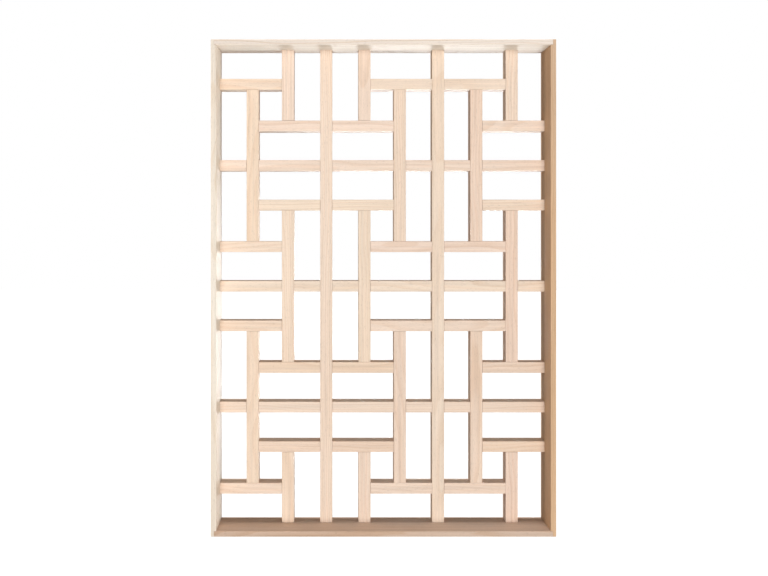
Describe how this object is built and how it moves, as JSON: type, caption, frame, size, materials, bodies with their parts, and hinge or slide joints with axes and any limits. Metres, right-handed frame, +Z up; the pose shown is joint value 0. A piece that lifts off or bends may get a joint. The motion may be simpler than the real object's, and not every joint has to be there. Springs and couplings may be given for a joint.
{
  "type": "jali screen",
  "caption": "Wooden jali screen: straight bars half-lapped and tenoned into a mirrored pinwheel lattice, let into a deep box frame that stands on its lower rail or is built into an opening.",
  "frame": {"origin": "middle of the underside that the screen stands on, at the bottom centre of its bounding box", "axes": "+Z up, +X to the right across the front, the front faces -Y and the back +Y"},
  "size_m": [0.75, 0.1, 1.08],
  "materials": {
    "frame_wood": "planed boards, bare or thinly oiled, warm tan, matt",
    "lattice_wood": "planed bars, bare or thinly oiled, pale peach, matt"
  },
  "bodies": {
    "root": {"stile_left": "frame_wood", "stile_right": "frame_wood", "rail_top": "frame_wood", "rail_bottom": "frame_wood", "upright_1_upper": "lattice_wood", "upright_1_lower": "lattice_wood", "upright_2_upper": "lattice_wood", "upright_2_middle": "lattice_wood", "upright_2_lower": "lattice_wood", "upright_3": "lattice_wood", "upright_4_upper": "lattice_wood", "upright_4_middle": "lattice_wood", "upright_4_lower": "lattice_wood", "upright_5_upper": "lattice_wood", "upright_5_lower": "lattice_wood", "upright_6": "lattice_wood", "upright_7_upper": "lattice_wood", "upright_7_lower": "lattice_wood", "upright_8_upper": "lattice_wood", "upright_8_middle": "lattice_wood", "upright_8_lower": "lattice_wood", "crossbar_1_left": "lattice_wood", "crossbar_1_right": "lattice_wood", "crossbar_2_left": "lattice_wood", "crossbar_2_right": "lattice_wood", "crossbar_3": "lattice_wood", "crossbar_4_left": "lattice_wood", "crossbar_4_right": "lattice_wood", "crossbar_5_left": "lattice_wood", "crossbar_5_right": "lattice_wood", "crossbar_6": "lattice_wood", "crossbar_7_left": "lattice_wood", "crossbar_7_right": "lattice_wood", "crossbar_8_left": "lattice_wood", "crossbar_8_right": "lattice_wood", "crossbar_9": "lattice_wood", "crossbar_10_left": "lattice_wood", "crossbar_10_right": "lattice_wood", "crossbar_11_left": "lattice_wood", "crossbar_11_right": "lattice_wood"}
  },
  "joints": []
}
